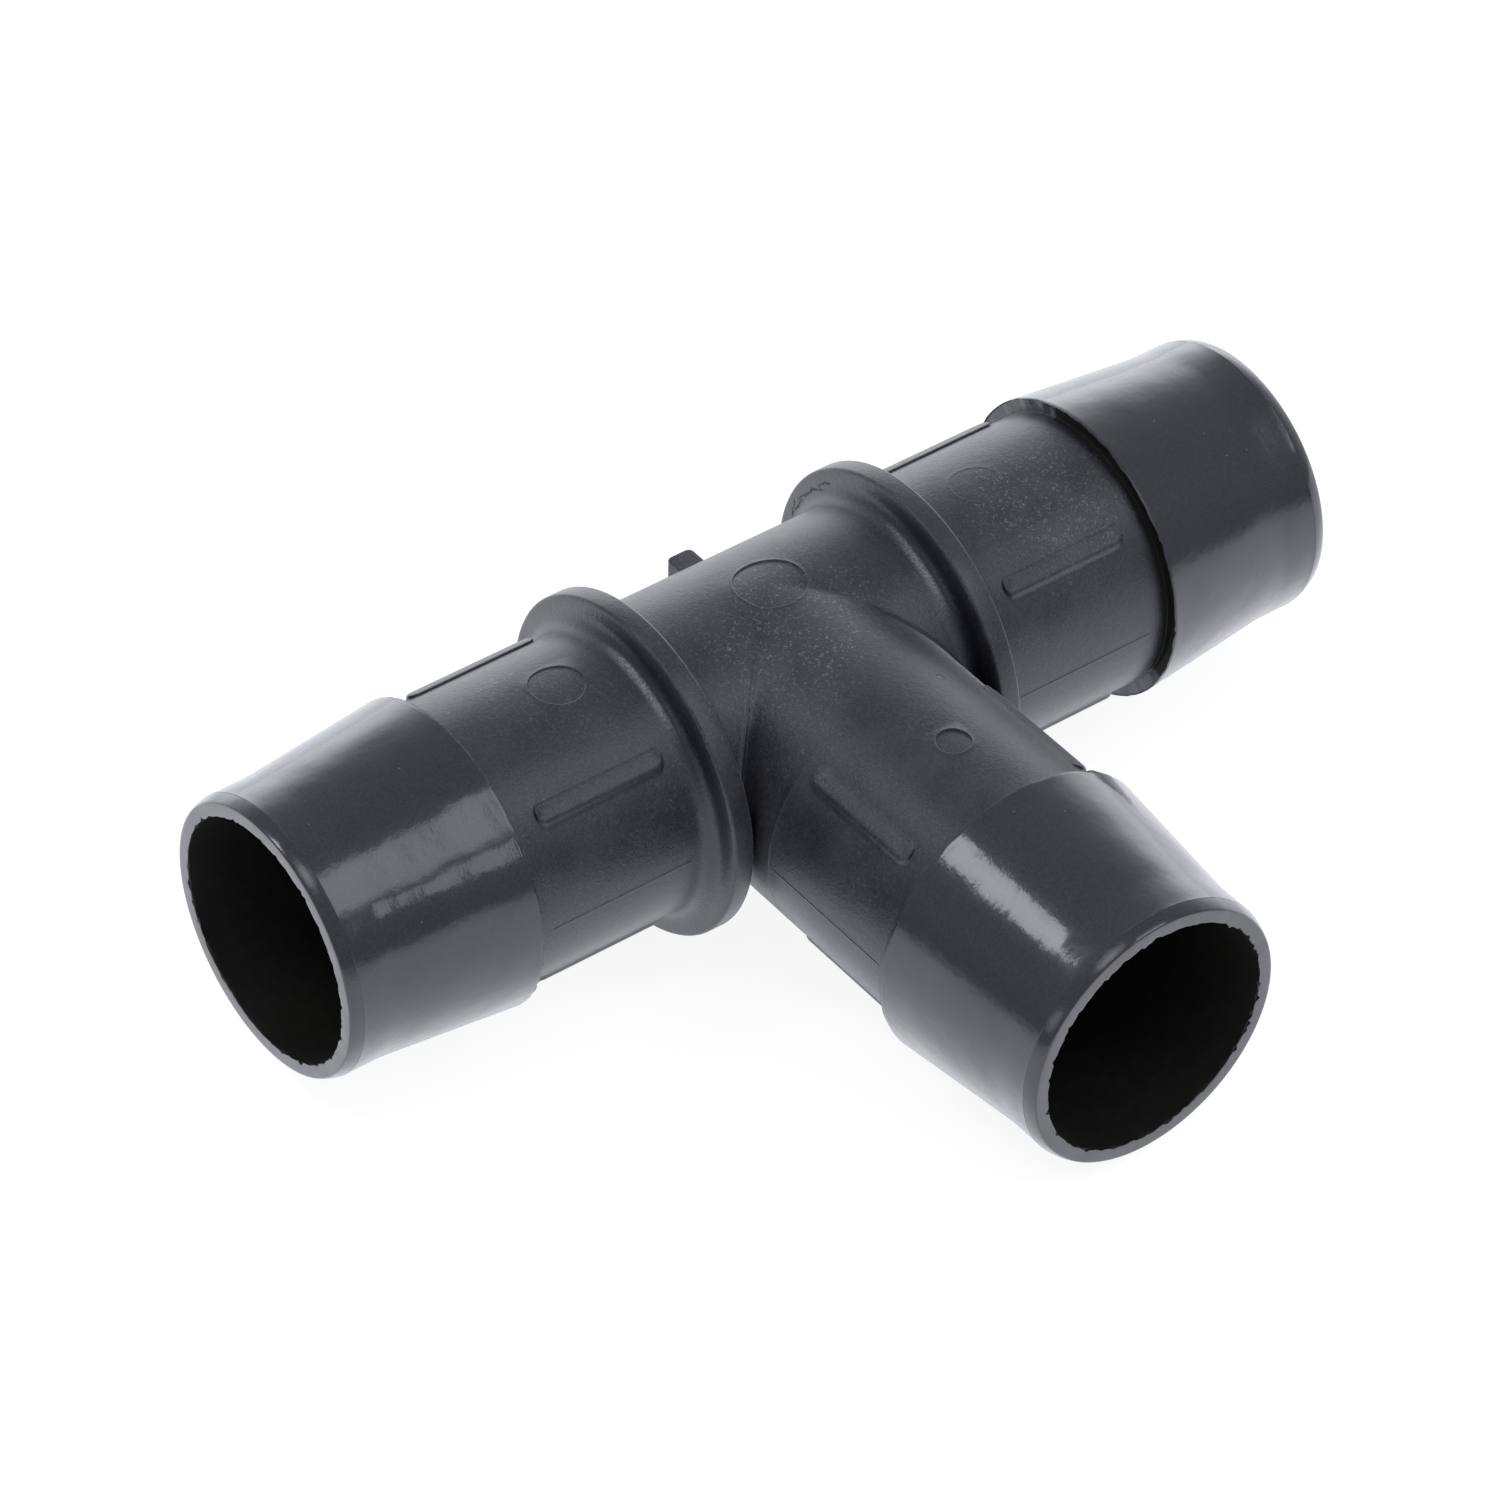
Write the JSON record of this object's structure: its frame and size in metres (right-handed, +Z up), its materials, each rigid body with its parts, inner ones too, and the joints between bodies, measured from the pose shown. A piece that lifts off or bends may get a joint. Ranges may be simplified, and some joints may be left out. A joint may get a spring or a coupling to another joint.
{
  "type": "equal tee",
  "caption": "Black moulded hose tee with equal barbed arms: a straight run and a square branch, a collar on each run sleeve and low ribs behind the barbs.",
  "frame": {"origin": "crossing of the run's axis and the branch's axis, on the mould's parting plane", "axes": "+X along the run, towards the right arm; the branch points to -Y; +Z is up, square to the parting plane"},
  "size_m": [0.1, 0.0651, 0.0302],
  "materials": {
    "tee": "black glass-filled polyamide as moulded: fine matte grain on the sleeves, collars and body, smoother and glossier on the barbs"
  },
  "bodies": {
    "root": {"tee": "tee"}
  },
  "joints": []
}
